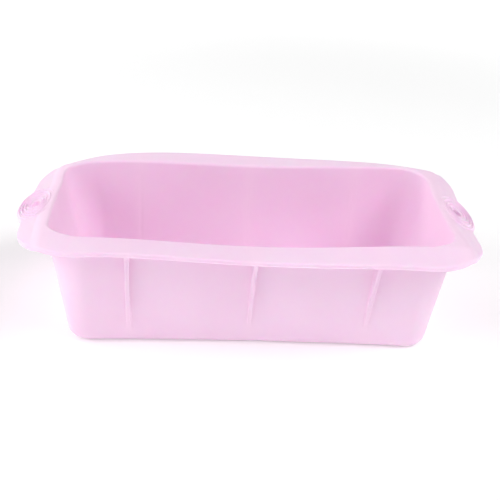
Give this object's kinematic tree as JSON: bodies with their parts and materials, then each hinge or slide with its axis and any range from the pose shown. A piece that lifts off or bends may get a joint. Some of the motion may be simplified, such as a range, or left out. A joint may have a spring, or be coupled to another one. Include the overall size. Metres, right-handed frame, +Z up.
{
  "type": "soap loaf mould",
  "caption": "Soft silicone loaf mould with tapered walls, a wide rim, braced long sides and flexible end tabs with oval hang holes.",
  "frame": {"origin": "middle of the base, on the surface the mould stands on", "axes": "+X along the loaf towards the right-hand end tab, +Y towards the back, +Z up out of the opening"},
  "size_m": [0.2724, 0.142, 0.071],
  "materials": {
    "pink_silicone": "satin, soft, slightly translucent silicone"
  },
  "bodies": {
    "mould": {"floor_panel": "pink_silicone", "wall_band": "pink_silicone", "rim_frame": "pink_silicone", "back_rib_left": "pink_silicone", "back_rib_middle": "pink_silicone", "back_rib_right": "pink_silicone", "front_rib_left": "pink_silicone", "front_rib_middle": "pink_silicone", "front_rib_right": "pink_silicone"},
    "left_tab": {"left_grip_tab": "pink_silicone", "left_ripple_1": "pink_silicone", "left_ripple_2": "pink_silicone", "left_ripple_3": "pink_silicone", "left_ripple_4": "pink_silicone"},
    "right_tab": {"right_grip_tab": "pink_silicone", "right_ripple_1": "pink_silicone", "right_ripple_2": "pink_silicone", "right_ripple_3": "pink_silicone", "right_ripple_4": "pink_silicone"}
  },
  "joints": [
    {"name": "left_tab_flex", "type": "hinge", "parent": "mould", "child": "left_tab", "pos_m": [-0.1178, 0, 0.0695], "axis": [0, 1, 0], "range_deg": [-60, 90], "stiffness_Nm_per_rad": 0.1},
    {"name": "right_tab_flex", "type": "hinge", "parent": "mould", "child": "right_tab", "pos_m": [0.1178, 0, 0.0695], "axis": [0, -1, 0], "range_deg": [-60, 90], "stiffness_Nm_per_rad": 0.1}
  ]
}
